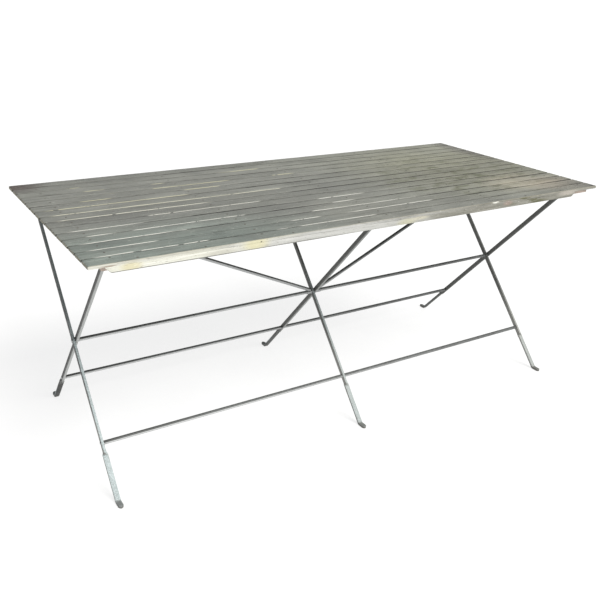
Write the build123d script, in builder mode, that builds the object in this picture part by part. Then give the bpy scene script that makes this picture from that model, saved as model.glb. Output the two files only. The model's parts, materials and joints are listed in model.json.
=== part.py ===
from build123d import *
import os
from math import atan, cos, sin

# A slatted wooden garden table on a folding steel frame, in millimetres.
# X runs along the table, Y towards the rear, Z up.  The origin is on the floor, under the
# middle of the top.  Three pairs of crossed legs turn on one tie rod.  The legs with their
# feet at the front carry the top on hinges at the rear; the legs with their feet at the
# rear push into sockets near the front edge.  Two stays run from the middle crossing to
# saddles under the outermost battens.

# ---- top ----
TOP_L, TOP_W, TOP_H = 1812.0, 812.0, 750.0
SLAT_COUNT = 15
SLAT_W, SLAT_T = 49.0, 10.0
SLAT_EASE = 0.8
BATTEN_X = (-840.0, -422.0, 0.0, 422.0, 851.0)
BATTEN_W = (54.0, 54.0, 54.0, 54.0, 76.0)
BATTEN_NAMES = ("far_left", "left", "middle", "right", "far_right")
BATTEN_T = 18.0
BATTEN_FRONT, BATTEN_REAR = -382.5, 398.0
RAIL_LEFT, RAIL_RIGHT = -866.0, 801.0
RAIL_FRONT, RAIL_T, RAIL_DEPTH = -405.6, 20.0, 17.0
RAIL_BEVEL_LEFT, RAIL_BEVEL_RIGHT = 16.0, 19.0

# ---- nails ----
NAIL_R, NAIL_HEAD_R, NAIL_HEAD_T, NAIL_L = 1.5, 3.0, 1.0, 25.0
NAIL_SINK = 0.1
RAIL_NAIL_X = (-780.0, -600.0, -340.0, -120.0, 130.0, 320.0, 560.0, 730.0)
FRONT_NAIL_Y = -368.0

# ---- legs ----
LEG_W, LEG_T, LEG_EASE = 16.0, 8.0, 1.5
LEG_X = (-846.0, 0.0, 846.0)
LEG_NAMES = ("left", "middle", "right")
LEG_GAP = 1.0                        # between the two legs of a crossing
PIVOT_Y, PIVOT_Z = 3.0, 369.0
FRONT_SLOPE, REAR_SLOPE = 0.90, -0.924   # travel in Y for each step in Z
HINGE_Z = 711.0                      # top hinge of the legs with front feet
SOCKET_Z = 711.0                     # top end of the legs with rear feet
TAB_LENGTH, KNEE_R = 28.0, 6.0
TWIST_BELOW, TWIST_LENGTH = 26.0, 18.0
TWIST_STEPS = 4

# ---- round bars ----
ROD_R, TENON_R, RIVET_R, RIVET_T = 6.0, 3.5, 6.0, 2.2
FRONT_ROD_Z, REAR_ROD_Z = 132.5, 137.5
TUBE_R = 6.0
HINGE_PIN_R, HINGE_PIN_HEAD_R, HINGE_PIN_HEAD_T = 3.0, 4.6, 1.6
WASHER_R, WASHER_T = 9.0, 0.8

# ---- stays ----
STAY_R = 6.0
STAY_RISE = 0.452                    # climb in Z for each step outwards in X
STAY_START_X = 14.0
STAY_EYE_L, STAY_EYE_R = 20.0, 7.5   # long enough for the bar to clear the tie rod's tube
STAY_END_X, STAY_BEND_R = 833.0, 24.0
STAY_TOP_Z = 713.3

# ---- fittings under the top ----
PLATE_T = 2.5
EAR_T, EAR_R, EAR_ROOM = 2.5, 9.0, 0.4
HINGE_PLATE_L, HINGE_SCREW_Y = 44.0, 11.0
SOCKET_PLATE_L, SOCKET_WALL, SOCKET_ROOM, SOCKET_DROP = 60.0, 2.5, 0.6, 19.0
SOCKET_REAR = 15.0                   # the cheeks run this far behind the leg's end centre
SOCKET_SCREW_Y = 22.0
SADDLE_W, SADDLE_ROOM, SADDLE_SLACK, SADDLE_DROP = 20.0, 0.5, 5.5, 9.0
SADDLE_FOOT = 16.0
SCREW_R, SCREW_HEAD_R, SCREW_L = 1.8, 3.6, 15.0

# ---- clearances, on the radius or on one face ----
FIT, FACE_GAP = 0.06, 0.1

SLAT_BOTTOM = TOP_H - SLAT_T
BATTEN_BOTTOM = SLAT_BOTTOM - BATTEN_T
PLATE_BOTTOM = BATTEN_BOTTOM - PLATE_T
SLAT_PITCH = (TOP_W - SLAT_W) / (SLAT_COUNT - 1)
SLAT_Y = [SLAT_PITCH * (i - (SLAT_COUNT - 1) / 2) for i in range(SLAT_COUNT)]
RAIL_Y = RAIL_FRONT + RAIL_T / 2
LEG_OFFSET = (LEG_T + LEG_GAP) / 2
FRONT_LEG_X = [x - LEG_OFFSET for x in LEG_X]
REAR_LEG_X = [x + LEG_OFFSET for x in LEG_X]

os.makedirs("parts", exist_ok=True)


def save(builder, name):
    """Label a finished piece and write it as its own STEP file."""
    builder.part.label = name
    export_step(builder.part, f"parts/{name}.step")


def on_leg(slope, z):
    """Y of a leg's centre line at height z."""
    return PIVOT_Y + slope * (z - PIVOT_Z)


# ---------------------------------------------------------------- wooden top

def nail_row(index):
    """Y of the nails that hold one slat to the battens."""
    return FRONT_NAIL_Y if index == 0 else SLAT_Y[index]


def make_slat(index):
    points = [(x, nail_row(index)) for x in BATTEN_X]
    if index == 0:
        points += [(x, RAIL_Y) for x in RAIL_NAIL_X]
    with BuildPart() as slat:
        with BuildSketch(Plane.XY.offset(SLAT_BOTTOM)):
            with Locations((0, SLAT_Y[index])):
                Rectangle(TOP_L, SLAT_W)
        extrude(amount=SLAT_T)
        chamfer(slat.edges().filter_by(Axis.X).group_by(Axis.Z)[-1], length=SLAT_EASE)
        with Locations(*[(x, y, TOP_H) for x, y in points]):
            CounterBoreHole(NAIL_R + FIT, NAIL_HEAD_R + FIT, NAIL_HEAD_T + 2 * NAIL_SINK)
    save(slat, f"slat_{index + 1:02d}")


def make_nails(name, points):
    """Flat-headed nails, heads just under the top surface."""
    head_top = TOP_H - NAIL_SINK
    with BuildPart() as nails:
        with Locations(*[(x, y, head_top) for x, y in points]):
            Cylinder(NAIL_HEAD_R, NAIL_HEAD_T, align=(Align.CENTER, Align.CENTER, Align.MAX))
            Cylinder(NAIL_R, NAIL_L, align=(Align.CENTER, Align.CENTER, Align.MAX))
    save(nails, name)


def screw_points():
    """Where each fitting's screws meet the underside of a batten, batten by batten."""
    points = {x: [] for x in BATTEN_X}
    outer_and_middle = (BATTEN_X[0], BATTEN_X[2], BATTEN_X[4])
    for batten, front_x, rear_x in zip(outer_and_middle, FRONT_LEG_X, REAR_LEG_X):
        hinge_y = on_leg(FRONT_SLOPE, HINGE_Z)
        socket_y = on_leg(REAR_SLOPE, SOCKET_Z)
        points[batten] += [(front_x, hinge_y - HINGE_SCREW_Y), (front_x, hinge_y + HINGE_SCREW_Y)]
        points[batten] += [(rear_x, socket_y - SOCKET_SCREW_Y), (rear_x, socket_y + SOCKET_SCREW_Y)]
    for side in (-1, 1):
        batten = BATTEN_X[0] if side < 0 else BATTEN_X[4]
        saddle_x = side * (STAY_END_X - SADDLE_W / 2)
        front, rear = saddle_span()
        points[batten] += [(saddle_x, front - SADDLE_FOOT / 2), (saddle_x, rear + SADDLE_FOOT / 2)]
    return points


def saddle_span():
    """Y of the outer faces of a stay saddle's front and rear walls."""
    front = PIVOT_Y - STAY_R - SADDLE_ROOM - PLATE_T
    rear = PIVOT_Y + STAY_R + SADDLE_SLACK + PLATE_T
    return front, rear


def make_batten(name, x, width, screws):
    nails = [(x, nail_row(i), SLAT_BOTTOM) for i in range(SLAT_COUNT)]
    nail_depth = NAIL_L + NAIL_SINK - SLAT_T + 1
    with BuildPart() as batten:
        with BuildSketch(Plane.XY.offset(BATTEN_BOTTOM)):
            with Locations((x, (BATTEN_FRONT + BATTEN_REAR) / 2)):
                Rectangle(width, BATTEN_REAR - BATTEN_FRONT)
        extrude(amount=BATTEN_T)
        chamfer(batten.edges().filter_by(Axis.Y).group_by(Axis.Z)[0], length=2)
        with Locations(*nails):
            Hole(NAIL_R + FIT, depth=nail_depth)
        for sx, sy in screws:
            with Locations(Plane((sx, sy, BATTEN_BOTTOM), z_dir=(0, 0, -1))):
                Hole(SCREW_R + FIT, depth=SCREW_L - PLATE_T + 0.5)
    save(batten, name)


def make_front_rail():
    """Strip under the front slat, its ends cut back at a slant underneath."""
    outline = [
        (RAIL_LEFT, SLAT_BOTTOM),
        (RAIL_RIGHT, SLAT_BOTTOM),
        (RAIL_RIGHT - RAIL_BEVEL_RIGHT, SLAT_BOTTOM - RAIL_DEPTH),
        (RAIL_LEFT + RAIL_BEVEL_LEFT, SLAT_BOTTOM - RAIL_DEPTH),
    ]
    with BuildPart() as rail:
        with BuildSketch(Plane.XZ.offset(-RAIL_FRONT)):
            with BuildLine():
                Polyline(*outline, close=True)
            make_face()
        extrude(amount=-RAIL_T)
        with Locations(*[(x, RAIL_Y, SLAT_BOTTOM) for x in RAIL_NAIL_X]):
            Hole(NAIL_R + FIT, depth=NAIL_L + NAIL_SINK - SLAT_T + 0.5)
    save(rail, "front_rail")


# ---------------------------------------------------------------- legs and round bars

def leg_plane(origin, axis, turn):
    """Plane across a leg, turned about the leg's own axis; 0 = the bar is wide in YZ."""
    return Plane(origin, x_dir=Vector(1, 0, 0).rotate(Axis((0, 0, 0), axis), turn), z_dir=axis)


def make_leg(name, x, slope, top_z, rod_z, rod_hole_r, pin_hole_r):
    """A flat bar, quarter-turned below its stretcher and bent out flat at the floor."""
    lean = atan(slope)
    up = Vector(0, sin(lean), cos(lean))
    top = Vector(x, on_leg(slope, top_z), top_z)
    rod = Vector(x, on_leg(slope, rod_z), rod_z)
    knee = Vector(x, on_leg(slope, LEG_T / 2), LEG_T / 2)
    outward = -1 if slope > 0 else 1
    tip = knee + Vector(0, outward * TAB_LENGTH, 0)
    twist_top = rod - up * TWIST_BELOW
    twist_end = twist_top - up * TWIST_LENGTH
    with BuildPart() as leg:
        with BuildSketch(leg_plane(twist_top, up, 0)):
            RectangleRounded(LEG_T, LEG_W, LEG_EASE)
        extrude(amount=(top - twist_top).length)
        with BuildSketch(Plane.YZ.offset(x)):
            with Locations((top.Y, top.Z)):
                Circle(LEG_W / 2)
        extrude(amount=LEG_T / 2, both=True)
        for step in range(TWIST_STEPS):
            for share in (step / TWIST_STEPS, (step + 1) / TWIST_STEPS):
                with BuildSketch(leg_plane(twist_top - up * (TWIST_LENGTH * share), up, 90 * share)):
                    RectangleRounded(LEG_T, LEG_W, LEG_EASE)
            loft(ruled=True)
        with BuildLine() as foot_path:
            FilletPolyline(twist_end, knee, tip, radius=KNEE_R)
        with BuildSketch(leg_plane(twist_end, up * -1, 90)):
            RectangleRounded(LEG_T, LEG_W, LEG_EASE)
        sweep(path=foot_path.wires()[0])
        with BuildSketch(Plane.XY):
            with Locations((x, tip.Y - outward * LEG_W / 4)):
                Rectangle(LEG_W + 2, LEG_W / 2 + 2)
            with Locations((x, tip.Y - outward * LEG_W / 2)):
                Circle(LEG_W / 2, mode=Mode.SUBTRACT)
        extrude(amount=2 * LEG_T, mode=Mode.SUBTRACT)
        with Locations(Plane((x, PIVOT_Y, PIVOT_Z), z_dir=(1, 0, 0))):
            Hole(TENON_R + FIT)
        with Locations(Plane(rod, z_dir=(1, 0, 0))):
            Hole(rod_hole_r + FIT)
        if pin_hole_r:
            with Locations(Plane(top, z_dir=(1, 0, 0))):
                Hole(pin_hole_r + FIT)
    save(leg, name)


def make_stretcher(name, leg_x, slope, z):
    """Round bar through the middle leg, its thinner ends riveted through the outer legs."""
    left = leg_x[0] + LEG_T / 2 + FACE_GAP
    right = leg_x[2] - LEG_T / 2 - FACE_GAP
    y = on_leg(slope, z)
    with BuildPart() as rod:
        with BuildSketch(Plane.YZ.offset(left)):
            with Locations((y, z)):
                Circle(ROD_R)
        extrude(amount=right - left)
        tenon = LEG_T + 2 * FACE_GAP
        for start, way in ((left, -1), (right, 1)):
            with BuildSketch(Plane.YZ.offset(start)):
                with Locations((y, z)):
                    Circle(TENON_R)
            extrude(amount=way * (tenon + RIVET_T / 2))
            with BuildSketch(Plane.YZ.offset(start + way * tenon)):
                with Locations((y, z)):
                    Circle(RIVET_R)
            extrude(amount=way * RIVET_T, taper=25)
    save(rod, name)


def make_pivot_rod():
    """Long tie rod through all six legs, riveted over at both ends."""
    half = LEG_X[2] + LEG_OFFSET + LEG_T / 2 + FACE_GAP
    with BuildPart() as rod:
        with BuildSketch(Plane.YZ.offset(-half - RIVET_T / 2)):
            with Locations((PIVOT_Y, PIVOT_Z)):
                Circle(TENON_R)
        extrude(amount=2 * half + RIVET_T)
        for way in (-1, 1):
            with BuildSketch(Plane.YZ.offset(way * half)):
                with Locations((PIVOT_Y, PIVOT_Z)):
                    Circle(RIVET_R)
            extrude(amount=way * RIVET_T, taper=25)
    save(rod, "pivot_rod")


def stay_eye_inner():
    """X of a stay eye's inner face, beside the middle pair of legs."""
    return LEG_OFFSET + LEG_T / 2 + 2 * FACE_GAP


def make_pivot_tube(name, side):
    """Tube on the tie rod that keeps two pairs of legs apart."""
    start = stay_eye_inner() + STAY_EYE_L + 2 * FACE_GAP
    end = LEG_X[2] - LEG_OFFSET - LEG_T / 2 - FACE_GAP
    with BuildPart() as tube:
        with BuildSketch(Plane.YZ.offset(side * start)):
            with Locations((PIVOT_Y, PIVOT_Z)):
                Circle(TUBE_R)
                Circle(TENON_R + FIT, mode=Mode.SUBTRACT)
        extrude(amount=side * (end - start))
    save(tube, name)


def make_washers():
    with BuildPart() as washers:
        for x in LEG_X:
            with BuildSketch(Plane.YZ.offset(x - WASHER_T / 2)):
                with Locations((PIVOT_Y, PIVOT_Z)):
                    Circle(WASHER_R)
                    Circle(TENON_R + FIT, mode=Mode.SUBTRACT)
            extrude(amount=WASHER_T)
    save(washers, "pivot_washers")


def make_stay(name, side):
    """Round bar from an eye on the tie rod up to a level end under the outermost batten."""
    eye_x = stay_eye_inner()
    bend_x = (STAY_TOP_Z - PIVOT_Z) / STAY_RISE
    start = Vector(side * STAY_START_X, PIVOT_Y, PIVOT_Z + STAY_RISE * STAY_START_X)
    bend = Vector(side * bend_x, PIVOT_Y, STAY_TOP_Z)
    end = Vector(side * STAY_END_X, PIVOT_Y, STAY_TOP_Z)
    with BuildPart() as stay:
        with BuildLine() as path:
            FilletPolyline(start, bend, end, radius=STAY_BEND_R)
        with BuildSketch(Plane(start, z_dir=bend - start)):
            Circle(STAY_R)
        sweep(path=path.wires()[0])
        with BuildSketch(Plane.YZ.offset(side * eye_x)):
            with Locations((PIVOT_Y, PIVOT_Z)):
                Circle(STAY_EYE_R)
        extrude(amount=side * STAY_EYE_L)
        with Locations(Plane((side * eye_x, PIVOT_Y, PIVOT_Z), z_dir=(1, 0, 0))):
            Hole(TENON_R + FIT, depth=2 * STAY_EYE_L)
    save(stay, name)


# ---------------------------------------------------------------- fittings under the top

def screw_hole(x, y):
    """Countersunk hole up through a fitting's plate; used inside the plate's block."""
    with Locations(Plane((x, y, PLATE_BOTTOM), z_dir=(0, 0, -1))):
        CounterSinkHole(SCREW_R + FIT, SCREW_HEAD_R + FIT, depth=PLATE_T, counter_sink_angle=90)


def make_hinge_bracket(name, x):
    """Plate with two ears that hold the top end of a leg with a front foot."""
    y = on_leg(FRONT_SLOPE, HINGE_Z)
    inner = LEG_T / 2 + EAR_ROOM
    with BuildPart() as bracket:
        with BuildSketch(Plane.XY.offset(PLATE_BOTTOM)):
            with Locations((x, y)):
                RectangleRounded(2 * (inner + EAR_T), HINGE_PLATE_L, 3)
        extrude(amount=PLATE_T)
        for side in (-1, 1):
            with BuildSketch(Plane.YZ.offset(x + side * inner)):
                with Locations((y, HINGE_Z)):
                    Circle(EAR_R)
                with Locations((y, (HINGE_Z + PLATE_BOTTOM) / 2)):
                    Rectangle(2 * EAR_R, PLATE_BOTTOM - HINGE_Z)
            extrude(amount=side * EAR_T)
            with Locations(Plane((x + side * inner, y, HINGE_Z), z_dir=(1, 0, 0))):
                Hole(HINGE_PIN_R + FIT, depth=2 * EAR_T)
        for way in (-1, 1):
            screw_hole(x, y + way * HINGE_SCREW_Y)
    save(bracket, name)


def make_hinge_pins():
    """Headed pins through the hinge ears and the leg ends."""
    y = on_leg(FRONT_SLOPE, HINGE_Z)
    half = LEG_T / 2 + EAR_ROOM + EAR_T + FACE_GAP
    with BuildPart() as pins:
        for x in FRONT_LEG_X:
            with BuildSketch(Plane.YZ.offset(x)):
                with Locations((y, HINGE_Z)):
                    Circle(HINGE_PIN_R)
            extrude(amount=half + HINGE_PIN_HEAD_T / 2, both=True)
            for way in (-1, 1):
                with BuildSketch(Plane.YZ.offset(x + way * half)):
                    with Locations((y, HINGE_Z)):
                        Circle(HINGE_PIN_HEAD_R)
                extrude(amount=way * HINGE_PIN_HEAD_T, taper=20)
    save(pins, "hinge_pins")


def make_leg_socket(name, x):
    """Plate with two cheeks and a front wall that stops a leg with a rear foot."""
    y = on_leg(REAR_SLOPE, SOCKET_Z)
    inner = LEG_T / 2 + SOCKET_ROOM
    front = y - LEG_W / 2 - SOCKET_ROOM - SOCKET_WALL
    rear = y + SOCKET_REAR
    bottom = BATTEN_BOTTOM - SOCKET_DROP
    with BuildPart() as socket:
        with BuildSketch(Plane.XY.offset(PLATE_BOTTOM)):
            with Locations((x, y)):
                RectangleRounded(2 * (inner + SOCKET_WALL), SOCKET_PLATE_L, 3)
        extrude(amount=PLATE_T)
        with BuildSketch(Plane.XY.offset(bottom)):
            with Locations((x, (front + rear) / 2)):
                Rectangle(2 * (inner + SOCKET_WALL), rear - front)
            with Locations((x, (front + SOCKET_WALL + rear) / 2)):
                Rectangle(2 * inner, rear - front - SOCKET_WALL, mode=Mode.SUBTRACT)
        extrude(amount=PLATE_BOTTOM - bottom)
        for way in (-1, 1):
            screw_hole(x, y + way * SOCKET_SCREW_Y)
    save(socket, name)


def make_stay_saddle(name, side):
    """Folded strip, open below, that the level end of a stay stands in."""
    x = side * (STAY_END_X - SADDLE_W / 2)
    front, rear = saddle_span()
    bottom = BATTEN_BOTTOM - PLATE_T - SADDLE_DROP
    outline = [
        (front - SADDLE_FOOT, BATTEN_BOTTOM),
        (rear + SADDLE_FOOT, BATTEN_BOTTOM),
        (rear + SADDLE_FOOT, PLATE_BOTTOM),
        (rear, PLATE_BOTTOM),
        (rear, bottom),
        (rear - PLATE_T, bottom),
        (rear - PLATE_T, PLATE_BOTTOM),
        (front + PLATE_T, PLATE_BOTTOM),
        (front + PLATE_T, bottom),
        (front, bottom),
        (front, PLATE_BOTTOM),
        (front - SADDLE_FOOT, PLATE_BOTTOM),
    ]
    with BuildPart() as saddle:
        with BuildSketch(Plane.YZ.offset(x)):
            with BuildLine():
                Polyline(*outline, close=True)
            make_face()
        extrude(amount=SADDLE_W / 2, both=True)
        for y in (front - SADDLE_FOOT / 2, rear + SADDLE_FOOT / 2):
            screw_hole(x, y)
    save(saddle, name)


def make_screws(points):
    """Countersunk wood screws up into the battens."""
    head_z = PLATE_BOTTOM + FIT
    half_profile = [
        (0, 0),
        (SCREW_HEAD_R, 0),
        (SCREW_R, SCREW_HEAD_R - SCREW_R),
        (SCREW_R, SCREW_L - 2 * SCREW_R),
        (0, SCREW_L),
    ]
    with BuildPart() as screws:
        for x, y in points:
            with BuildSketch(Plane((x, y, head_z), x_dir=(1, 0, 0), z_dir=(0, -1, 0))):
                with BuildLine():
                    Polyline(*half_profile, close=True)
                make_face()
            revolve(axis=Axis((x, y, head_z), (0, 0, 1)))
    save(screws, "fitting_screws")


# ---------------------------------------------------------------- build everything

SCREWS = screw_points()

for slat_index in range(SLAT_COUNT):
    make_slat(slat_index)
for batten_name, batten_x, batten_w in zip(BATTEN_NAMES, BATTEN_X, BATTEN_W):
    make_batten(f"batten_{batten_name}", batten_x, batten_w, SCREWS[batten_x])
make_front_rail()
make_nails("slat_nails", [(x, nail_row(i)) for x in BATTEN_X for i in range(SLAT_COUNT)])
make_nails("rail_nails", [(x, RAIL_Y) for x in RAIL_NAIL_X])

for leg_name, front_x, rear_x in zip(LEG_NAMES, FRONT_LEG_X, REAR_LEG_X):
    rod_hole = ROD_R if leg_name == "middle" else TENON_R
    make_leg(f"front_leg_{leg_name}", front_x, FRONT_SLOPE, HINGE_Z, FRONT_ROD_Z, rod_hole, HINGE_PIN_R)
    make_leg(f"rear_leg_{leg_name}", rear_x, REAR_SLOPE, SOCKET_Z, REAR_ROD_Z, rod_hole, 0)
    make_hinge_bracket(f"hinge_bracket_{leg_name}", front_x)
    make_leg_socket(f"leg_socket_{leg_name}", rear_x)
make_hinge_pins()
make_stretcher("front_stretcher", FRONT_LEG_X, FRONT_SLOPE, FRONT_ROD_Z)
make_stretcher("rear_stretcher", REAR_LEG_X, REAR_SLOPE, REAR_ROD_Z)
make_pivot_rod()
make_washers()
for side_name, side_sign in (("left", -1), ("right", 1)):
    make_pivot_tube(f"pivot_tube_{side_name}", side_sign)
    make_stay(f"stay_{side_name}", side_sign)
    make_stay_saddle(f"stay_saddle_{side_name}", side_sign)
make_screws([point for points in SCREWS.values() for point in points])
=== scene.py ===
import json
import math
import random

import bpy
from mathutils import Matrix, Vector, noise


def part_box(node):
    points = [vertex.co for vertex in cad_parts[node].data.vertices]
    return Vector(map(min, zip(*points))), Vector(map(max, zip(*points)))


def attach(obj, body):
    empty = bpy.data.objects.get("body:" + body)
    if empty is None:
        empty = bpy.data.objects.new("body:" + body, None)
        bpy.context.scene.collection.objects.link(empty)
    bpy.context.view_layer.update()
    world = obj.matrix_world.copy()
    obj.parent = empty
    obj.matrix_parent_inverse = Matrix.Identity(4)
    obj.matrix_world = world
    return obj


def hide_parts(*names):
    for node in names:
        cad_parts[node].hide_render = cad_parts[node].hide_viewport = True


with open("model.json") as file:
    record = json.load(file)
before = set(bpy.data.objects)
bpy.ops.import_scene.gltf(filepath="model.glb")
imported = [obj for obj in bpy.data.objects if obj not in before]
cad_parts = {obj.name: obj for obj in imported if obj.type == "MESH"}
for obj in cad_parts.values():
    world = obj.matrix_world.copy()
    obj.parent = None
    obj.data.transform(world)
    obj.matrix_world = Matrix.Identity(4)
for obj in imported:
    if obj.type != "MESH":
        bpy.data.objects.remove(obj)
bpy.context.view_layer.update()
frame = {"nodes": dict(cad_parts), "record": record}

# ---- sizes in metres, shared by several pieces ----
LEG_W, LEG_T, LEG_ROUND = 0.016, 0.008, 0.0018
ROD_R, TUBE_R = 0.006, 0.006
TENON_R, RIVET_T = 0.0035, 0.0022
LEG_ROOM = 0.0002                # free play of a stretcher's end in its leg
STEP = 0.00001                   # length over which a turned bar changes its radius
TWIST_BELOW, TWIST_LENGTH = 0.026, 0.018
KNEE_R = 0.006
CHIPS_PER_SLAT = 7
PALE_CHIP_X = 0.415              # the one large fresh chip in the front slat's edge
TOP_DROP = 0.0004                # the slats' worn faces lie this far under the CAD top
RING_STEP = 0.010                # length of board between two rings of its mesh
END_ROUND = 0.0036               # length over which a board's end is rounded
BAR_STEPS = 20                   # points round a round bar
STRAIGHT_STEPS, TWIST_STEPS, KNEE_STEPS, ROUND_STEPS = 26, 12, 8, 6   # along a leg
BLUNT = 0.12                     # share of a leg's width left at its rounded ends
OXIDE_LEFT, OXIDE_RIGHT = 0.92, 0.30   # how far steel turned to the sky has whitened
BATTEN_NODES = ("far_left", "left", "middle", "right", "far_right")
SIDES = ("left", "middle", "right")

JOINTS = {joint["name"]: joint for joint in frame["record"]["behaviour"]["joints"]}
PIVOT = Vector(JOINTS["leg_fold"]["pos_m"])
HINGE = Vector(JOINTS["top_lift"]["pos_m"])
BATTEN_X = [sum(corner.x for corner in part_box(f"batten_{n}")) / 2 for n in BATTEN_NODES]
SLATS = sorted(n for n in frame["nodes"] if n.startswith("slat_") and n != "slat_nails")
TOP_LO, TOP_HI = Vector(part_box(SLATS[0])[0]), Vector(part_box(SLATS[-1])[1])
RAIL_LO, RAIL_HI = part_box("front_rail")


# ---------------------------------------------------------------- shader graphs

class Graph:
    """Short names for building one material's node tree."""

    def __init__(self, name):
        self.material = bpy.data.materials.new(name)
        self.material.use_nodes = True
        self.tree = self.material.node_tree
        self.tree.nodes.clear()
        coords = self.node("ShaderNodeTexCoord")
        self.place = coords.outputs["Object"]
        self.x, self.y, self.z = self.split(self.place)
        self.normal_x, self.normal_y, self.normal_z = self.split(coords.outputs["Normal"])

    def node(self, kind, **settings):
        made = self.tree.nodes.new(kind)
        for key, value in settings.items():
            setattr(made, key, value)
        return made

    def link(self, source, target):
        self.tree.links.new(source, target)

    def split(self, vector):
        made = self.node("ShaderNodeSeparateXYZ")
        self.link(vector, made.inputs[0])
        return made.outputs

    def feed(self, socket, value):
        """Joins an output, or sets a plain value."""
        if hasattr(value, "is_output"):
            self.link(value, socket)
        elif isinstance(value, tuple) and len(value) == 3 and socket.type == "RGBA":
            socket.default_value = (*value, 1)
        else:
            socket.default_value = value

    def math(self, operation, a, b=0.0):
        made = self.node("ShaderNodeMath", operation=operation)
        self.feed(made.inputs[0], a)
        self.feed(made.inputs[1], b)
        return made.outputs[0]

    def weigh(self, a, share_a, b, share_b):
        """The weighted sum of two values."""
        return self.math("ADD", self.math("MULTIPLY", a, share_a), self.math("MULTIPLY", b, share_b))

    def stretch(self, scale, shift=(0, 0, 0), vector=None):
        """The place of a point, scaled along each axis and shifted."""
        made = self.node("ShaderNodeMapping")
        self.feed(made.inputs["Vector"], vector or self.place)
        made.inputs["Scale"].default_value = scale
        made.inputs["Location"].default_value = shift
        return made.outputs[0]

    def noise(self, vector, scale=1.0, detail=3.0, rough=0.55, bend=0.0):
        made = self.node("ShaderNodeTexNoise")
        self.feed(made.inputs["Vector"], vector)
        made.inputs["Scale"].default_value = scale
        made.inputs["Detail"].default_value = detail
        made.inputs["Roughness"].default_value = rough
        made.inputs["Distortion"].default_value = bend
        return made.outputs["Fac"]

    def cells(self, vector, scale):
        made = self.node("ShaderNodeTexVoronoi")
        self.feed(made.inputs["Vector"], vector)
        made.inputs["Scale"].default_value = scale
        return made.outputs["Color"]

    def band(self, value, low, high, out_low=0.0, out_high=1.0):
        """Value from low to high, mapped smoothly to out_low to out_high."""
        made = self.node("ShaderNodeMapRange", interpolation_type="SMOOTHSTEP")
        self.feed(made.inputs["Value"], value)
        made.inputs["From Min"].default_value = low
        made.inputs["From Max"].default_value = high
        made.inputs["To Min"].default_value = out_low
        made.inputs["To Max"].default_value = out_high
        return made.outputs[0]

    def mix(self, share, a, b, blend="MIX"):
        made = self.node("ShaderNodeMix", data_type="RGBA", blend_type=blend)
        self.feed(made.inputs[0], share)
        self.feed(made.inputs[6], a)
        self.feed(made.inputs[7], b)
        return made.outputs[2]

    def near(self, point, radii):
        """1 at a point, falling smoothly to 0 on the ellipsoid with those radii."""
        scale = tuple(1 / r for r in radii)
        shift = tuple(-p / r for p, r in zip(point, radii))
        made = self.node("ShaderNodeVectorMath", operation="LENGTH")
        self.link(self.stretch(scale, shift), made.inputs[0])
        return self.band(made.outputs["Value"], 0.25, 1.0, 1.0, 0.0)

    def attribute(self, name):
        return self.node("ShaderNodeAttribute", attribute_name=name).outputs["Fac"]

    def finish(self, colour, rough, metal=0.0, height=None, depth=0.0005, glow=0.0):
        surface = self.node("ShaderNodeBsdfPrincipled")
        self.feed(surface.inputs["Base Color"], colour)
        self.feed(surface.inputs["Roughness"], rough)
        self.feed(surface.inputs["Metallic"], metal)
        surface.inputs["Emission Color"].default_value = (1, 1, 1, 1)
        surface.inputs["Emission Strength"].default_value = glow
        if height is not None:
            bump = self.node("ShaderNodeBump")
            bump.inputs["Strength"].default_value = 1.0
            bump.inputs["Distance"].default_value = depth
            self.feed(bump.inputs["Height"], height)
            self.link(bump.outputs[0], surface.inputs["Normal"])
        out = self.node("ShaderNodeOutputMaterial")
        self.link(surface.outputs[0], out.inputs["Surface"])
        return self.material


# ---------------------------------------------------------------- wood

GREY_DARK, GREY_MID, GREY_LIGHT = (0.110, 0.113, 0.099), (0.182, 0.185, 0.167), (0.272, 0.276, 0.250)
PALE, BARE, FRESH = (0.72, 0.72, 0.66), (0.42, 0.40, 0.32), (0.58, 0.47, 0.40)
# The first colour is used both for dirt and for painted shade deep in the gaps between slats.
DIRT_AND_SHADE, MOSS = (0.012, 0.012, 0.009), (0.095, 0.100, 0.055)


def grain(g, shift):
    """Coordinates that differ from board to board, and lengthwise grain in three sizes."""
    move = g.node("ShaderNodeCombineXYZ")
    g.link(g.math("MULTIPLY", shift, 3.7), move.inputs[0])
    g.link(g.math("MULTIPLY", shift, 1.9), move.inputs[1])
    add = g.node("ShaderNodeVectorMath", operation="ADD")
    g.link(g.place, add.inputs[0])
    g.link(move.outputs[0], add.inputs[1])
    where = add.outputs[0]
    broad = g.noise(g.stretch((3.0, 90, 90), vector=where), detail=4, rough=0.6, bend=0.3)
    streak = g.noise(g.stretch((9, 420, 420), vector=where), detail=4, rough=0.7)
    fibre = g.noise(g.stretch((40, 1800, 1800), vector=where), detail=2, rough=0.6)
    return where, broad, streak, fibre


# Stains on the front edge: colour, place along X, depth under the top, half length, half height.
FRONT_STAINS = (
    ((0.50, 0.47, 0.30), -0.46, 0.012, 0.055, 0.030),
    ((0.50, 0.46, 0.30), -0.80, 0.018, 0.040, 0.020),
    ((0.40, 0.39, 0.29), 0.05, 0.020, 0.050, 0.016),
    ((0.40, 0.39, 0.34), -0.56, 0.020, 0.070, 0.012),
    (BARE, 0.10, 0.014, 0.050, 0.008),
    (PALE, PALE_CHIP_X, 0.003, 0.020, 0.006),
    ((0.24, 0.19, 0.16), 0.47, 0.012, 0.030, 0.012),
    ((0.36, 0.33, 0.29), 0.76, 0.010, 0.070, 0.012),
    ((0.20, 0.13, 0.09), -0.855, 0.008, 0.030, 0.003),
    ((0.030, 0.026, 0.022), -0.444, 0.008, 0.0035, 0.0030),
    ((0.10, 0.09, 0.07), 0.278, 0.019, 0.0012, 0.020),
)


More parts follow.
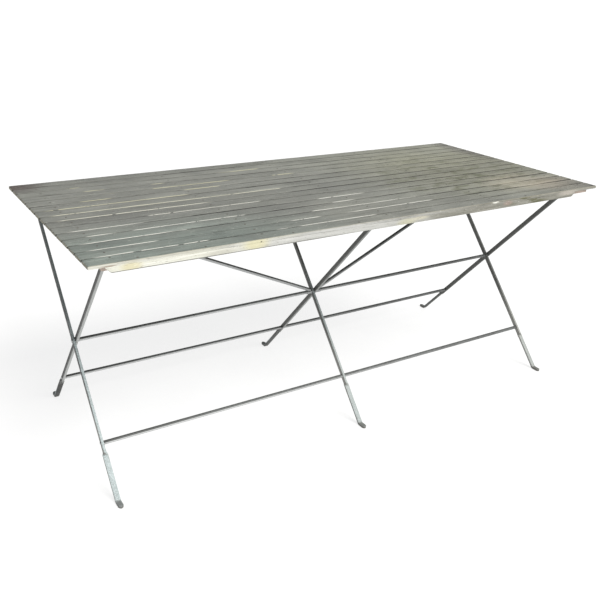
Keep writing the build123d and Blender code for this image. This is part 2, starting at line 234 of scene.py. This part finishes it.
def front_edge_bands(g, where, broad, streak):
    """Bleached at the left, grey in the middle, dark and mossy at the right."""
    tone = g.band(g.weigh(broad, 0.45, streak, 0.55), 0.36, 0.62)
    left = g.mix(tone, (0.46, 0.455, 0.38), (0.63, 0.63, 0.58))
    middle = g.mix(tone, (0.33, 0.33, 0.31), (0.43, 0.43, 0.41))
    right = g.mix(tone, (0.120, 0.117, 0.095), (0.24, 0.235, 0.205))
    cloud = g.noise(g.stretch((6, 30, 30), vector=where), detail=3)
    along = g.math("ADD", g.x, g.math("MULTIPLY", g.math("SUBTRACT", cloud, 0.5), 0.40))
    colour = g.mix(g.band(along, -0.58, -0.34), left, middle)
    colour = g.mix(g.band(along, -0.08, 0.28), colour, right)
    patch = g.noise(g.stretch((16, 90, 90), vector=where), detail=4)
    damp = g.math("MULTIPLY", g.band(g.x, 0.44, 0.52), g.band(g.x, 0.69, 0.61))
    return g.mix(g.math("MULTIPLY", g.band(patch, 0.46, 0.58), damp), colour, (0.085, 0.085, 0.045))


def front_edge_colour(g, where, broad, streak):
    """The front edge with its stains, specks and the darker lines along it, one of them painted shade along
    the rail's lower edge.
    """
    colour = front_edge_bands(g, where, broad, streak)
    for tint, x, depth, half_x, half_z in FRONT_STAINS:
        spot = g.near((x, TOP_LO.y, TOP_HI.z - depth), (half_x, 0.05, half_z))
        colour = g.mix(g.math("MULTIPLY", spot, 0.85), colour, tint)
    speck = g.noise(g.stretch((70, 240, 240), vector=where), detail=3, rough=0.7)
    colour = g.mix(g.band(speck, 0.60, 0.68, 0.0, 0.55), colour, (0.15, 0.14, 0.11))
    colour = g.mix(g.band(speck, 0.36, 0.30, 0.0, 0.35), colour, (0.70, 0.70, 0.63))
    leftmost = g.band(g.x, -0.45, -0.60, 0.0, 0.5)
    upper = g.math("MULTIPLY", g.band(g.z, TOP_HI.z - 0.0095, TOP_HI.z - 0.0070), leftmost)
    colour = g.mix(upper, colour, (0.34, 0.33, 0.28))
    arris = g.math("MULTIPLY", g.band(g.z, TOP_HI.z - 0.0030, TOP_HI.z - 0.0018), 0.7)
    colour = g.mix(arris, colour, (0.27, 0.25, 0.19))
    # Painted shade: a thin dark line along the lower edge of the rail's front face, on the left half.
    foot = g.math("MULTIPLY", g.band(g.z, RAIL_LO.z + 0.0034, RAIL_LO.z + 0.0024), g.band(g.x, -0.10, -0.22))
    return g.mix(g.math("MULTIPLY", foot, 0.8), colour, (0.10, 0.10, 0.09))


# Patches of the top: factor on the colour, centre as a share of the half length and half
# width, and reach along X and Y.
TOP_PATCHES = (
    ((0.93, 1.05, 1.05), (-0.80, -0.95), (0.70, 0.34)),
    ((1.16, 1.16, 1.14), (0.15, -0.68), (0.55, 0.20)),
    ((1.20, 1.20, 1.16), (0.62, 0.85), (0.95, 0.42)),
    ((1.06, 1.04, 0.92), (0.75, 0.05), (0.65, 0.55)),
    ((1.52, 1.42, 1.38), (0.78, -0.62), (0.24, 0.15)),
    ((1.10, 1.04, 1.02), (0.90, -0.80), (0.20, 0.12)),
    ((0.86, 0.86, 0.87), (-0.72, -0.16), (0.30, 0.11)),
    ((0.86, 0.86, 0.87), (-0.28, -0.47), (0.18, 0.11)),
    ((1.22, 1.22, 1.22), (-0.88, -0.89), (0.12, 0.06)),
    ((1.20, 1.20, 1.18), (0.66, -0.74), (0.30, 0.10)),
    ((1.22, 1.22, 1.20), (0.94, 0.82), (0.12, 0.12)),
    ((0.45, 0.36, 0.36), (-1.00, 1.00), (0.14, 0.13)),
    ((0.62, 0.60, 0.66), (1.02, 0.60), (0.14, 0.30)),
    ((0.35, 0.33, 0.33), (1.01, -1.01), (0.055, 0.05)),
)
PATCH_DEPTH = 0.3


def patch(g, centre, reach):
    """1 at a place on the top, given as a share of its half size, falling to 0 at reach."""
    x, y = centre
    return g.near((x * TOP_HI.x, y * TOP_HI.y, TOP_HI.z), (*reach, PATCH_DEPTH))


def top_colour(g, shift, broad, streak, blotch):
    """Silvered grain: cool at the front left, olive at the rear and right, pink at one end."""
    tone = g.weigh(broad, 0.45, streak, 0.55)
    colour = g.mix(g.band(tone, 0.32, 0.49), GREY_DARK, GREY_MID)
    colour = g.mix(g.band(tone, 0.51, 0.68), colour, GREY_LIGHT)
    for tint, centre, reach in TOP_PATCHES:
        share = g.math("MULTIPLY", patch(g, centre, reach), g.band(blotch, 0.30, 0.55, 0.65, 1.0))
        colour = g.mix(share, colour, g.mix(1.0, colour, tint, "MULTIPLY"))
    board_tone = g.node("ShaderNodeHueSaturation")
    g.link(g.band(shift, 0.0, 1.0, 0.93, 1.07), board_tone.inputs["Value"])
    g.link(colour, board_tone.inputs["Color"])
    return board_tone.outputs[0]


def speckled(g, colour, where):
    """Lichen and dirt in small specks."""
    lichen = g.noise(g.stretch((110, 190, 190), vector=where), detail=3, rough=0.7)
    colour = g.mix(g.band(lichen, 0.635, 0.70, 0.0, 0.60), colour, (0.46, 0.47, 0.41))
    speck = g.noise(g.stretch((50, 320, 320), vector=where), detail=3, rough=0.7)
    return g.mix(g.band(speck, 0.62, 0.70, 0.0, 0.60), colour, DIRT_AND_SHADE)


def fine_cracks(g, where, blotch):
    """1 along thin cracks that follow the grain, in some places only."""
    crack = g.noise(g.stretch((4.5, 330, 330), vector=where), detail=2, rough=0.4)
    cracks = g.band(g.math("ABSOLUTE", g.math("SUBTRACT", crack, 0.5)), 0.0, 0.010, 1.0, 0.0)
    return g.math("MULTIPLY", cracks, g.band(blotch, 0.46, 0.58))


def gap_side_colour(g, colour, where):
    """Sides of the slats, seen in the gaps: dirty, plain, or bare pale wood in broken lengths, with painted
    shade below the top few millimetres.
    """
    spread = g.noise(g.stretch((2.2, 0.1, 0.1), vector=g.stretch((1, 40, 1), vector=where)), detail=3)
    broken = g.noise(g.stretch((26, 40, 0.1), vector=where), detail=3, rough=0.7)
    lean = g.weigh(g.x, 0.13, g.y, 0.24)
    state = g.math("SUBTRACT", spread, lean)
    clean = g.math("MULTIPLY", g.band(state, 0.575, 0.605), g.band(broken, 0.33, 0.41))
    clean = g.math("MULTIPLY", clean, g.band(g.x, TOP_LO.x + 0.02, TOP_LO.x + 0.06))
    edge = g.mix(g.band(state, 0.46, 0.50), DIRT_AND_SHADE, g.mix(0.30, colour, DIRT_AND_SHADE))
    edge = g.mix(clean, edge, g.mix(g.band(g.y, -0.15, 0.15), PALE, (0.55, 0.53, 0.36)))
    # Painted shade: more than about 3 mm under the top, the sides turn near-black.
    low = g.band(g.z, TOP_HI.z - 0.0032, TOP_HI.z - 0.0020)
    return g.mix(low, DIRT_AND_SHADE, edge)


def slat_material():
    """Weathered top faces, sawn ends, dirty gap sides, and the front edge's own colours."""
    g = Graph("weathered_slat")
    shift = g.attribute("board")
    where, broad, streak, fibre = grain(g, shift)
    blotch = g.noise(g.stretch((5, 14, 14), vector=where), detail=4)
    colour = speckled(g, top_colour(g, shift, broad, streak, blotch), where)
    cracks = fine_cracks(g, where, blotch)
    colour = g.mix(g.math("MULTIPLY", cracks, 0.75), colour, DIRT_AND_SHADE)
    algae = g.noise(g.stretch((16, 30, 30), vector=where), detail=5, rough=0.65)
    damp = patch(g, (0.62, -0.15), (0.55, 0.42))
    colour = g.mix(g.math("MULTIPLY", g.band(algae, 0.50, 0.66, 0.0, 0.75), damp), colour, MOSS)

    ends = g.band(g.math("ABSOLUTE", g.normal_x), 0.5, 0.8)
    sawn = g.mix(g.band(streak, 0.4, 0.6), (0.10, 0.095, 0.075), (0.30, 0.285, 0.22))
    colour = g.mix(ends, colour, sawn)
    side = g.band(g.math("ABSOLUTE", g.normal_y), 0.80, 0.95)
    colour = g.mix(side, colour, gap_side_colour(g, colour, where))
    at_front = g.math("MULTIPLY", g.band(g.y, TOP_LO.y + 0.005, TOP_LO.y + 0.003), side)
    colour = g.mix(at_front, colour, front_edge_colour(g, where, broad, streak))

    rough = g.band(streak, 0.2, 0.8, 0.88, 0.64)
    relief = g.weigh(streak, 0.7, fibre, 0.3)
    relief = g.math("SUBTRACT", relief, g.math("MULTIPLY", cracks, 1.2))
    return g.finish(colour, rough, height=relief, depth=0.0006)


def rail_material():
    """The strip under the front slat; its hidden faces are plain grey."""
    g = Graph("front_edge_wood")
    where, broad, streak, fibre = grain(g, g.attribute("board"))
    plain = g.mix(g.band(streak, 0.35, 0.65), GREY_DARK, GREY_LIGHT)
    face = g.band(g.math("MULTIPLY", g.normal_y, -1), 0.3, 0.6)
    colour = g.mix(face, plain, front_edge_colour(g, where, broad, streak))
    relief = g.weigh(streak, 0.7, fibre, 0.3)
    return g.finish(colour, g.band(streak, 0.2, 0.8, 0.88, 0.68), height=relief, depth=0.0006)


def batten_material():
    """Sheltered timber under the top, fresher at the cut front ends."""
    g = Graph("batten_wood")
    shift = g.attribute("board")
    turned = g.node("ShaderNodeCombineXYZ")
    g.link(g.y, turned.inputs[0])
    g.link(g.math("ADD", g.x, shift), turned.inputs[1])
    g.link(g.z, turned.inputs[2])
    where = turned.outputs[0]
    broad = g.noise(g.stretch((3, 70, 70), vector=where), detail=4, bend=0.4)
    streak = g.noise(g.stretch((9, 380, 380), vector=where), detail=4, rough=0.65)
    tone = g.weigh(broad, 0.6, streak, 0.4)
    colour = g.mix(g.band(tone, 0.32, 0.68), (0.150, 0.132, 0.100), (0.33, 0.295, 0.235))
    damp = g.noise(g.stretch((7, 7, 7), vector=where), detail=3)
    colour = g.mix(g.band(damp, 0.5, 0.7, 0.0, 0.55), colour, (0.12, 0.125, 0.10))
    front = g.band(g.y, TOP_LO.y + 0.05, TOP_LO.y + 0.024)
    colour = g.mix(g.math("MULTIPLY", front, 0.85), colour, FRESH)
    return g.finish(colour, 0.85, height=streak, depth=0.0006)


# ---------------------------------------------------------------- steel

# The first of these colours is painted shade, laid over the steel at the left end of the table.
LEFT_END_SHADE, SPLASHED = (0.022, 0.022, 0.020), (0.30, 0.30, 0.28)
BLOOM_DARK, BLOOM_LIGHT = (0.20, 0.23, 0.23), (0.44, 0.50, 0.51)
MUD, RUST = (0.075, 0.070, 0.062), (0.13, 0.070, 0.040)


def oxide_share(g, leftward, streaks, oxidised):
    """How white the zinc has turned: most on faces to the sky, low down and in the open; keeping it off the
    steel under the top also paints the shade there.
    """
    skyward = g.math("ADD", g.normal_z, g.math("MULTIPLY", g.math("SUBTRACT", streaks, 0.5), 0.9))
    skyward = g.math("ADD", skyward, g.band(g.z, 0.10, 0.05, 0.0, 0.35))
    share = g.band(leftward, 0.0, 1.0, oxidised * OXIDE_RIGHT, oxidised * OXIDE_LEFT)
    left_end = g.band(g.x, -0.3, -0.8, 0.0, 0.55)
    # Partly painted shade: the oxide is kept off the steel under the top, which also darkens it where the
    # top's shadow falls.
    half_open_and_lit = g.math("MULTIPLY", g.band(g.z, 0.50, 0.36), g.band(g.x, 0.7, -0.3, 0.15, 1.0))
    open_air_and_lit = g.math("MAXIMUM", g.band(g.z, 0.13, 0.09), g.math("MAXIMUM", left_end, half_open_and_lit))
    return g.math("MULTIPLY", g.band(skyward, 0.10, 0.62), g.math("MULTIPLY", share, open_air_and_lit))


def zinc_material(name, dark, light, under, wrap=(0.05, -0.35), rust_share=0.0, oxidised=1.0):
    """Old galvanised steel: dark at the sides, with painted shade at the left end, painted light on the
    undersides and white oxide towards the sky.

    Both the oxide and the painted underside light fade from the left end of the table to the right.
    The painted underside light runs in over the two upward slopes in wrap.
    """
    g = Graph(name)
    crystal = g.cells(g.place, 170)
    cloud = g.noise(g.place, 26, detail=5, rough=0.6)
    fine = g.noise(g.place, 480, detail=3, rough=0.6)
    tone = g.weigh(cloud, 0.75, crystal, 0.25)
    leftward = g.band(g.x, BATTEN_X[-1], BATTEN_X[0])
    colour = g.mix(g.band(tone, 0.30, 0.70), dark, light)
    # Painted shade: the steel darkens towards the left end of the table.
    colour = g.mix(g.band(g.x, -0.3, -0.8, 0.0, 0.8), colour, LEFT_END_SHADE)
    splashed = g.math("MULTIPLY", g.band(g.z, 0.30, 0.14, 0.0, 0.7 * oxidised), g.band(g.y, -0.02, -0.10))
    colour = g.mix(splashed, colour, SPLASHED)
    # Painted light: the undersides are made lighter in colour, as if lit from the floor; this fades towards
    # the right end of the table and near the ground.
    painted_underside_light = g.math("MULTIPLY", g.band(g.normal_z, *wrap), g.band(g.z, 0.09, 0.14))
    painted_underside_light = g.math("MULTIPLY", painted_underside_light, g.band(leftward, 0.0, 0.9, 0.15, 1.0))
    colour = g.mix(painted_underside_light, colour, under)
    streaks = g.noise(g.stretch((90, 60, 14)), detail=4, rough=0.6)
    oxide = oxide_share(g, leftward, streaks, oxidised)
    colour = g.mix(oxide, colour, g.mix(g.band(fine, 0.35, 0.65), BLOOM_DARK, BLOOM_LIGHT))
    ground = g.band(g.math("ADD", g.z, g.math("MULTIPLY", streaks, 0.006)), 0.016, 0.009)
    colour = g.mix(g.math("MULTIPLY", ground, 0.75), colour, MUD)
    spots = g.noise(g.place, 75, detail=4, rough=0.7)
    rust = g.band(spots, 0.72 - rust_share, 0.80 - rust_share)
    colour = g.mix(g.math("MULTIPLY", rust, 0.8), colour, RUST)
    clean = g.math("SUBTRACT", 1.0, g.math("MAXIMUM", rust, g.math("MAXIMUM", oxide, ground)))
    rough = g.math("ADD", g.band(cloud, 0.3, 0.7, 0.50, 0.65), g.math("MULTIPLY", oxide, 0.15))
    relief = g.weigh(cloud, 0.6, fine, 0.4)
    return g.finish(colour, rough, metal=g.math("MULTIPLY", clean, 0.15), height=relief, depth=0.0004)


def nail_material():
    g = Graph("rusty_nail")
    cloud = g.noise(g.place, 180, detail=4, rough=0.65)
    colour = g.mix(g.band(cloud, 0.35, 0.65), (0.085, 0.080, 0.070), (0.170, 0.155, 0.130))
    return g.finish(colour, 0.75, metal=0.3, height=cloud, depth=0.0003)


# ---------------------------------------------------------------- mesh helpers

def make_piece(name, verts, faces, material, body, replaced, tone=None):
    """A mesh piece in the row frame that stands for CAD nodes and rides on a body."""
    mesh = bpy.data.meshes.new(name)
    mesh.from_pydata([tuple(v) for v in verts], [], faces)
    mesh.validate()
    if tone is not None:
        values = mesh.attributes.new("board", "FLOAT", "POINT")
        values.data.foreach_set("value", [tone] * len(mesh.vertices))
    mesh.polygons.foreach_set("use_smooth", [True] * len(mesh.polygons))
    mesh.materials.append(material)
    piece = bpy.data.objects.new(name, mesh)
    bpy.context.collection.objects.link(piece)
    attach(piece, body)
    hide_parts(*replaced)
    return piece


def skin(rings):
    """Faces between rings of equal length, with a face over each end."""
    verts = [point for ring in rings for point in ring]
    count = len(rings[0])
    faces = []
    for r in range(len(rings) - 1):
        for k in range(count):
            n = (k + 1) % count
            faces.append((r * count + k, r * count + n, (r + 1) * count + n, (r + 1) * count + k))
    faces.append(tuple(reversed(range(count))))
    last = (len(rings) - 1) * count
    faces.append(tuple(range(last, last + count)))
    return verts, faces


def rounded_outline(half_a, half_b, radius, steps):
    """Points round a rectangle with round corners, anticlockwise in (a, b)."""
    points = []
    for corner, (sa, sb) in enumerate(((1, 1), (-1, 1), (-1, -1), (1, -1))):
        for k in range(steps + 1):
            angle = math.radians(90 * (corner + k / steps))
            points.append((
                sa * (half_a - radius) + radius * math.cos(angle),
                sb * (half_b - radius) + radius * math.sin(angle),
            ))
    return points


def smoothstep(t):
    t = max(0.0, min(1.0, t))
    return t * t * (3 - 2 * t)


def wander(x, seed, scale):
    """Smooth value between about -1 and 1 that drifts along x."""
    return noise.noise(Vector((x * scale, seed * 7.31, seed * 1.17)))


# ---------------------------------------------------------------- boards

def board_rings(lo, hi, seed, along, ease, drift, edge_wear, chips, end_wear, drop=0.0):
    """Rings of a weathered board; along is 0 for a board along X, 1 for one along Y."""
    across = 1 - along
    length = hi[along] - lo[along]
    count = round(length / RING_STEP)
    half_w, half_t = (hi[across] - lo[across]) / 2, (hi.z - lo.z - drop) / 2
    mid_w, mid_z = (hi[across] + lo[across]) / 2, (hi.z + lo.z - drop) / 2
    trim = [end_wear * (0.3 + 0.7 * abs(wander(1.0 + k, seed + 3.3, 5))) for k in (0, 1)]
    start, stop = lo[along] + trim[0], hi[along] - trim[1]
    inner = [start + (stop - start) * k / count for k in range(1, count)]
    lead = (0.0006, 0.0018, END_ROUND)
    first = [start] + [start + d for d in lead]
    last = [stop - d for d in reversed(lead)] + [stop]
    rings = []
    for place in first + inner + last:
        from_end = min(place - start, stop - place)
        shrink = 1 - smoothstep(from_end / END_ROUND)
        bow = drift * wander(place, seed, 1.7) + 0.4 * drift * wander(place, seed + 0.5, 6)
        ring = []
        inset = 0.0008 * shrink
        for a, b in rounded_outline(half_w - inset, half_t - inset, ease, 4):
            sign = 1 if a > 0 else -1
            edge = smoothstep((abs(a) - 0.55 * half_w) / (0.45 * half_w))
            wear = edge_wear * (0.5 + 0.5 * wander(place, seed + 11 * sign, 23))
            wear += 0.5 * edge_wear * wander(place, seed + 17 * sign, 90)
            for at, size, depth, side in chips:
                if side == sign:
                    upper = smoothstep((b / half_t + 0.4) / 1.2)
                    wear += depth * upper * math.exp(-(((place - at) / size) ** 2))
            ripple = drop * (0.55 * wander(place, seed + a * 260, 15) - 0.75 * edge)
            w = mid_w + bow + a - sign * max(0.0, wear) * edge
            if along == 0:
                w = min(max(w, TOP_LO.y), TOP_HI.y)
            z = mid_z + b + (ripple if b > 0 else 0)
            ring.append((place, w, z) if along == 0 else (w, place, z))
        rings.append(ring if along == 0 else ring[::-1])
    return rings


def random_chip(rng, low, high):
    """Place, length and depth of a chip, and the side of the board that it is on."""
    place = rng.uniform(low, high)
    size = rng.uniform(0.006, 0.022)
    depth = rng.uniform(0.0005, 0.0016)
    return place, size, depth, rng.choice((-1, 1))


def make_slats(material):
    rng = random.Random(41)
    tones = [rng.random() for _ in SLATS]
    for index, node in enumerate(SLATS):
        lo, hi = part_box(node)
        chips = [random_chip(rng, lo.x, hi.x) for _ in range(CHIPS_PER_SLAT)]
        if index == 0:
            chips.append((PALE_CHIP_X, 0.016, 0.0045, -1))
        drift = 0.0003 if index in (0, len(SLATS) - 1) else 0.0014
        ease = 0.0005 if index == 0 else 0.0010
        rings = board_rings(lo, hi, 2.0 + index, 0, ease, drift, 0.0006, chips, 0.0012, TOP_DROP)
        verts, faces = skin(rings)
        make_piece(f"slat_board_{index + 1:02d}", verts, faces, material, "tabletop",
                   [node], tone=tones[index])


def make_battens(material):
    for index, name in enumerate(BATTEN_NODES):
        lo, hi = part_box(f"batten_{name}")
        rings = board_rings(lo, hi, 40.0 + index, 1, 0.0022, 0.0005, 0.0006, [], 0.002)
        verts, faces = skin(rings)
        make_piece(f"cross_batten_{name}", verts, faces, material, "tabletop",
                   [f"batten_{name}"], tone=0.13 + 0.19 * index)


def make_rail(material):
    """The strip under the front slat: slanted ends and an uneven, split lower edge."""
    lo, hi = RAIL_LO, RAIL_HI
    seed = 63.0
    chips = [(0.16, 0.030, 0.0010, -1), (0.62, 0.020, 0.0016, -1), (-0.35, 0.05, 0.0008, -1)]
    rings = board_rings(lo, hi, seed, 0, 0.0005, 0.0002, 0.0004, chips, 0.0)
    slants = (0.016, 0.019)
    height = hi.z - lo.z
    bent = []
    for ring in rings:
        new_ring = []
        for x, y, z in ring:
            down = (hi.z - z) / height
            pull = down * smoothstep((abs(x - (lo.x + hi.x) / 2) / (hi.x - lo.x) * 2 - 0.93) / 0.07)
            x += pull * slants[0] if x < 0 else -pull * slants[1]
            z += 0.0010 * down * (0.6 + 0.4 * wander(x, seed + 5, 9))
            new_ring.append((x, y, z))
        bent.append(new_ring)
    verts, faces = skin(bent)
    make_piece("front_edge_rail", verts, faces, material, "tabletop", ["front_rail"], tone=0.37)


# ---------------------------------------------------------------- bars

def leg_stations(top, rod, knee, tip):
    """Centre, direction, turn and end-rounding along a leg, from its top end to its toe."""
    up = (top - knee).normalized()
    outward = (tip - knee).normalized()
    quarter = math.radians(90)
    stations = []
    for k in range(ROUND_STEPS + 1):
        angle = quarter * k / ROUND_STEPS
        share = max(BLUNT, math.sin(angle))
        stations.append((top + up * (LEG_W / 2 * math.cos(angle)), up, 0.0, share))
    twist_top = rod - up * TWIST_BELOW
    twist_end = twist_top - up * TWIST_LENGTH
    for k in range(1, STRAIGHT_STEPS):
        stations.append((top.lerp(twist_top, k / STRAIGHT_STEPS), up, 0.0, 1.0))
    for k in range(TWIST_STEPS + 1):
        done = k / TWIST_STEPS
        stations.append((twist_top.lerp(twist_end, done), up, quarter * smoothstep(done), 1.0))
    bend = math.acos(max(-1, min(1, (-up).dot(outward))))
    set_back = KNEE_R * math.tan(bend / 2)
    arc_start, arc_end = knee + up * set_back, knee + outward * set_back
    for k in range(1, KNEE_STEPS):
        stations.append((twist_end.lerp(arc_start, k / KNEE_STEPS), up, quarter, 1.0))
    for k in range(KNEE_STEPS + 1):
        t = k / KNEE_STEPS
        point = arc_start * (1 - t) ** 2 + knee * (2 * t * (1 - t)) + arc_end * t ** 2
        along = ((knee - arc_start) * (1 - t) + (arc_end - knee) * t).normalized()
        stations.append((point, -along, quarter, 1.0))
    toe = tip - outward * (LEG_W / 2)
    for k in range(1, 3):
        stations.append((arc_end.lerp(toe, k / 3), -outward, quarter, 1.0))
    for k in range(ROUND_STEPS + 1):
        angle = quarter * k / ROUND_STEPS
        share = max(BLUNT, math.cos(angle))
        stations.append((toe + outward * (LEG_W / 2 * math.sin(angle)), -outward, quarter, share))
    return stations


def make_leg(node, body, top, rod, knee, tip, material, seed):
    """A flat bar with rolled edges, a hand-made quarter turn and a flat toe."""
    outline = rounded_outline(LEG_T / 2, LEG_W / 2, LEG_ROUND, 3)
    rings = []
    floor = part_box(node)[0].z
    for index, (centre, up, turn, share) in enumerate(leg_stations(top, rod, knee, tip)):
        side = Vector((1, 0, 0))
        wide = up.cross(side)
        dent = 0.00012 * wander(index * 0.31, seed, 3)
        ring = []
        for a, b in outline:
            b = b * share
            ca, sa = math.cos(turn), math.sin(turn)
            point = centre + side * (a * ca - b * sa) + wide * (a * sa + b * ca)
            point += (side * ca + wide * sa) * (dent if a > 0 else -dent)
            point.z = max(point.z, floor)
            ring.append(point)
        rings.append(ring)
    verts, faces = skin(rings)
    make_piece(f"bar_{node}", verts, faces, material, body, [node])


def make_legs(material):
    """Both sets of legs; their lines run through the tie rod and the top ends."""
    for index, side in enumerate(SIDES):
        for kind, body in (("front_leg", "front_foot_frame"), ("rear_leg", "rear_foot_frame")):
            node = f"{kind}_{side}"
            lo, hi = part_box(node)
            x = (lo.x + hi.x) / 2
            top_z = hi.z - LEG_W / 2
            front_foot = kind == "front_leg"
            top_y = HINGE.y if front_foot else lo.y + LEG_W / 2
            slope = (top_y - PIVOT.y) / (top_z - PIVOT.z)
            rod_lo, rod_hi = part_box("front_stretcher" if front_foot else "rear_stretcher")
            rod_z = (rod_lo.z + rod_hi.z) / 2
            top = Vector((x, top_y, top_z))
            rod = Vector((x, PIVOT.y + slope * (rod_z - PIVOT.z), rod_z))
            knee = Vector((x, PIVOT.y + slope * (LEG_T / 2 - PIVOT.z), LEG_T / 2))
            tip = Vector((x, lo.y if front_foot else hi.y, LEG_T / 2))
            make_leg(node, body, top, rod, knee, tip, material, 3.0 + index + (0 if front_foot else 9))


def turned_bar(stations, centre_y, centre_z, seed, bow):
    """Rings round a bar along X; stations are (x, radius), and the bar bows a little."""
    first, last = stations[0][0], stations[-1][0]
    rings = []
    for x, radius in stations:
        share = (x - first) / (last - first)
        free = math.sin(math.pi * share)
        dy = bow * free * wander(x, seed, 1.4)
        dz = bow * free * (wander(x, seed + 4, 1.1) - 0.5)
        rings.append([
            Vector((
                x,
                centre_y + dy + radius * math.cos(2 * math.pi * k / BAR_STEPS),
                centre_z + dz + radius * math.sin(2 * math.pi * k / BAR_STEPS),
            ))
            for k in range(BAR_STEPS)
        ])
    return rings


def make_stretchers(material):
    """Round bars with a thinner riveted end in each outer leg."""
    for end, seed in (("front", 21.0), ("rear", 22.0)):
        node = f"{end}_stretcher"
        lo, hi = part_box(node)
        rivet_r = (hi.z - lo.z) / 2
        inside = RIVET_T + LEG_T + LEG_ROOM
        profile = (
            (0.0, 0.0016), (0.0003, 0.003), (0.0012, 0.0048), (RIVET_T, rivet_r),
            (RIVET_T + STEP, TENON_R), (inside - STEP, TENON_R),
            (inside, ROD_R - 0.0004), (inside + 0.0006, ROD_R),
        )
        left = [(lo.x + d, radius) for d, radius in profile]
        right = [(lo.x + hi.x - x, radius) for x, radius in reversed(left)]
        inner = [
            (left[-1][0] + (right[0][0] - left[-1][0]) * k / 60, ROD_R + 0.00012 * wander(k * 0.4, seed, 1))
            for k in range(1, 60)
        ]
        rings = turned_bar(left + inner + right, (lo.y + hi.y) / 2, (lo.z + hi.z) / 2, seed, 0.0008)
        verts, faces = skin(rings)
        make_piece(f"round_bar_{node}", verts, faces, material, f"{end}_foot_frame",
                   [node])


def make_tubes(material):
    """Tubes on the tie rod, with slightly belled ends."""
    for side, seed in (("left", 31.0), ("right", 32.0)):
        node = f"pivot_tube_{side}"
        lo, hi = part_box(node)
        ends = [(0.0, TUBE_R - 0.0007), (0.0004, TUBE_R - 0.0002), (0.0012, TUBE_R)]
        left = [(lo.x + d, radius) for d, radius in ends]
        right = [(hi.x - d, radius) for d, radius in reversed(ends)]
        inner = [
            (left[-1][0] + (right[0][0] - left[-1][0]) * k / 30, TUBE_R - 0.00008 * abs(wander(k, seed, 1)))
            for k in range(1, 30)
        ]
        rings = turned_bar(left + inner + right, PIVOT.y, PIVOT.z, seed, 0.0004)
        verts, faces = skin(rings)
        make_piece(f"spacer_{node}", verts, faces, material, "front_foot_frame", [node])


def finish_cad_nodes(bars, sheet, nails):
    """Better materials for the CAD pieces whose shape is already right."""
    for node, obj in frame["nodes"].items():
        if node in ("pivot_rod", "stay_left", "stay_right"):
            chosen = bars
        elif node in ("slat_nails", "rail_nails", "fitting_screws"):
            chosen = nails
        elif node.startswith(("hinge_", "leg_socket", "stay_saddle")) or node == "pivot_washers":
            chosen = sheet
        else:
            continue
        for material_slot in obj.material_slots:
            material_slot.material = chosen


# ---------------------------------------------------------------- stage, light and camera

def make_floor():
    """A wide pale floor that rises gently far away, so that it fills every view."""
    profile = ((0, 0), (6, 0), (14, 0), (22, 0.3), (32, 2.0), (44, 6.0), (58, 14.0))
    steps = 64
    verts = [
        (radius * math.cos(2 * math.pi * k / steps), radius * math.sin(2 * math.pi * k / steps), z)
        for radius, z in profile[1:]
        for k in range(steps)
    ]
    faces = [tuple(range(steps))]
    for ring in range(len(profile) - 2):
        for k in range(steps):
            n = (k + 1) % steps
            inner, outer = ring * steps, (ring + 1) * steps
            faces.append((inner + k, outer + k, outer + n, inner + n))
    mesh = bpy.data.meshes.new("floor")
    mesh.from_pydata(verts, [], faces)
    floor = bpy.data.objects.new("floor", mesh)
    bpy.context.collection.objects.link(floor)
    g = Graph("pale_floor")
    cloud = g.noise(g.place, 3.0)
    colour = g.mix(g.band(cloud, 0.3, 0.7), (0.20, 0.20, 0.20), (0.22, 0.22, 0.22))
    mesh.materials.append(g.finish(colour, 0.95, glow=0.78))


def make_light():
    """A broad soft key high at the front right, over a faint even sky."""
    world = bpy.data.worlds.new("studio")
    bpy.context.scene.world = world
    world.use_nodes = True
    back = world.node_tree.nodes["Background"]
    back.inputs["Color"].default_value = (0.95, 0.98, 1.0, 1)
    back.inputs["Strength"].default_value = 0.30
    key = bpy.data.lights.new("front_key", "SUN")
    key.energy = 4.4
    key.angle = math.radians(40)
    key.color = (1.0, 0.99, 0.965)
    lamp = bpy.data.objects.new("front_key", key)
    bpy.context.collection.objects.link(lamp)
    lamp.rotation_euler = Vector((0.25, -0.65, 0.75)).to_track_quat("Z", "Y").to_euler()


def make_camera():
    """Camera left of the table and above it; a longish lens, level but for a slight roll."""
    place = Vector((-1.363, -2.036, 1.373))
    heading, dip, roll = math.radians(32.69), math.radians(23.01), math.radians(2.10)
    ahead = Vector((math.sin(heading) * math.cos(dip), math.cos(heading) * math.cos(dip), -math.sin(dip)))
    level = Vector((math.cos(heading), -math.sin(heading), 0))
    right = level * math.cos(roll) + level.cross(ahead) * math.sin(roll)
    up = right.cross(ahead)
    data = bpy.data.cameras.new("camera")
    data.sensor_width = 36
    data.lens = 44.86
    camera = bpy.data.objects.new("camera", data)
    bpy.context.collection.objects.link(camera)
    turn = Matrix((right, up, -ahead)).transposed()
    camera.matrix_world = Matrix.Translation(place) @ turn.to_4x4()
    bpy.context.scene.camera = camera


# ---------------------------------------------------------------- build the scene

bpy.context.scene.view_settings.view_transform = "Standard"
make_camera()
make_light()
make_floor()

# The last colour given to each steel is its painted underside light.
flat_steel = zinc_material("old_zinc", (0.045, 0.046, 0.042), (0.085, 0.088, 0.082), (0.40, 0.41, 0.40))
round_steel = zinc_material("round_zinc", (0.035, 0.037, 0.036), (0.085, 0.09, 0.089), (0.46, 0.47, 0.47),
                            wrap=(0.45, 0.15), oxidised=0.05)
sheet_steel = zinc_material("zinc_sheet", (0.10, 0.105, 0.105), (0.20, 0.21, 0.21), (0.24, 0.25, 0.25),
                            rust_share=0.04, oxidised=0.5)

make_slats(slat_material())
make_battens(batten_material())
make_rail(rail_material())
make_legs(flat_steel)
make_stretchers(round_steel)
make_tubes(round_steel)
finish_cad_nodes(round_steel, sheet_steel, nail_material())
